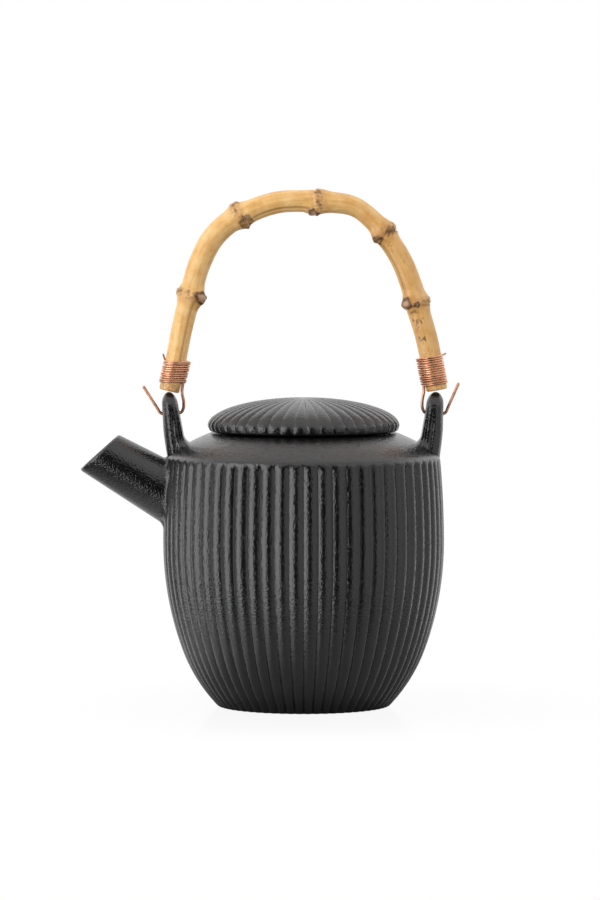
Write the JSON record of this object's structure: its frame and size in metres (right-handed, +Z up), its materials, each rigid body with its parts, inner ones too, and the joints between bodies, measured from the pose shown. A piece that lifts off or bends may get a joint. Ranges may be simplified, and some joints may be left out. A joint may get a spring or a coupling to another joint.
{
  "type": "teapot",
  "caption": "Reeded black stoneware teapot with a straight spout, a domed reeded lid, a lift-out tea basket and a bamboo bail handle on copper wire hooks.",
  "frame": {"origin": "on the pot's axis, in the plane that it stands on", "axes": "+Z up along the pot's axis, spout towards -X, ears and handle in the XZ plane"},
  "size_m": [0.1894, 0.139, 0.2567],
  "materials": {
    "black_glaze": "satin black glaze with a fine grain, over stoneware",
    "basket_steel": "brushed stainless sheet",
    "bamboo": "natural bamboo with brown nodes",
    "copper_wire": "drawn copper wire"
  },
  "bodies": {
    "pot": {"pot_body": "black_glaze", "spout": "black_glaze", "ear_left": "black_glaze", "ear_right": "black_glaze"},
    "infuser": {"infuser_rim": "basket_steel", "infuser_wall": "basket_steel", "infuser_base": "basket_steel"},
    "lid": {"lid": "black_glaze"},
    "handle": {"bamboo_handle": "bamboo", "hook_left": "copper_wire", "hook_right": "copper_wire", "winding_left": "copper_wire", "winding_right": "copper_wire"}
  },
  "joints": [
    {"name": "handle_swing", "type": "hinge", "parent": "pot", "child": "handle", "pos_m": [0, 0, 0.1454], "axis": [1, 0, 0], "range_deg": [-90, 90]},
    {"name": "infuser_lift", "type": "slide", "parent": "pot", "child": "infuser", "axis": [0, 0, 1], "range_m": [0, 0.055]},
    {"name": "lid_lift", "type": "slide", "parent": "infuser", "child": "lid", "axis": [0, 0, 1], "range_m": [0, 0.055]}
  ]
}
